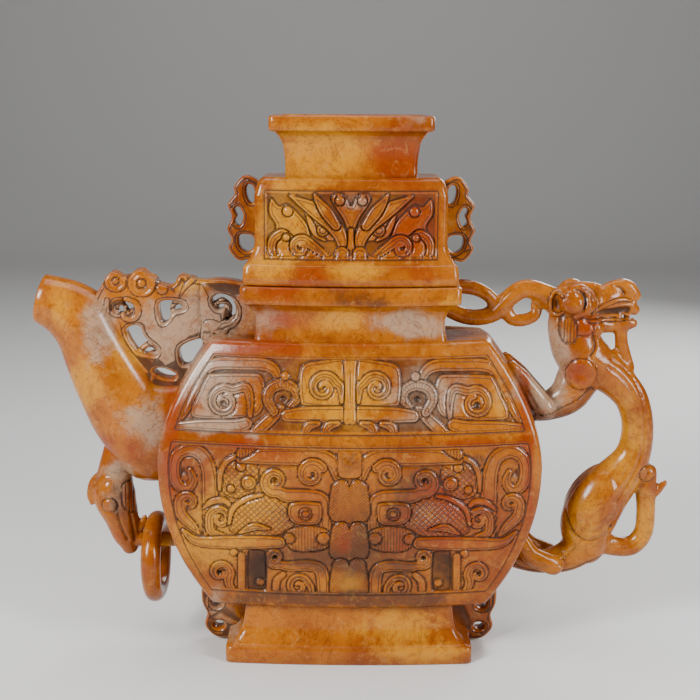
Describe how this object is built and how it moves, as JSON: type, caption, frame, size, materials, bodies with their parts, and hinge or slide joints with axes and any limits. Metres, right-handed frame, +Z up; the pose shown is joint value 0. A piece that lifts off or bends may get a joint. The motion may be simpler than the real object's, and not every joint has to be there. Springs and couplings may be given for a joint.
{
  "type": "carved jade wine pot with lid",
  "caption": "Carved jade wine pot with a flattened body, beak spout, dragon handle, loose ring on a bird's beak, and a box-shaped lid with a flared knob.",
  "frame": {"origin": "middle of the foot's flat underside", "axes": "+X to the dragon handle, along the longest extent; +Y to the plainer back, along the shortest extent; +Z up"},
  "size_m": [0.268, 0.0648, 0.2278],
  "materials": {
    "pot": "polished",
    "lid": "polished",
    "ring": "polished"
  },
  "bodies": {
    "root": {"body": "pot", "neck": "pot", "spout": "pot", "scroll_strut": "pot", "bird": "pot", "dragon_head": "pot", "dragon_body": "pot", "dragon_tail": "pot", "foot_scroll_left": "pot", "foot_scroll_right": "pot", "lid": "lid", "lid_knob": "lid", "lid_ear_left": "lid", "lid_ear_right": "lid", "ring": "ring"}
  },
  "joints": []
}
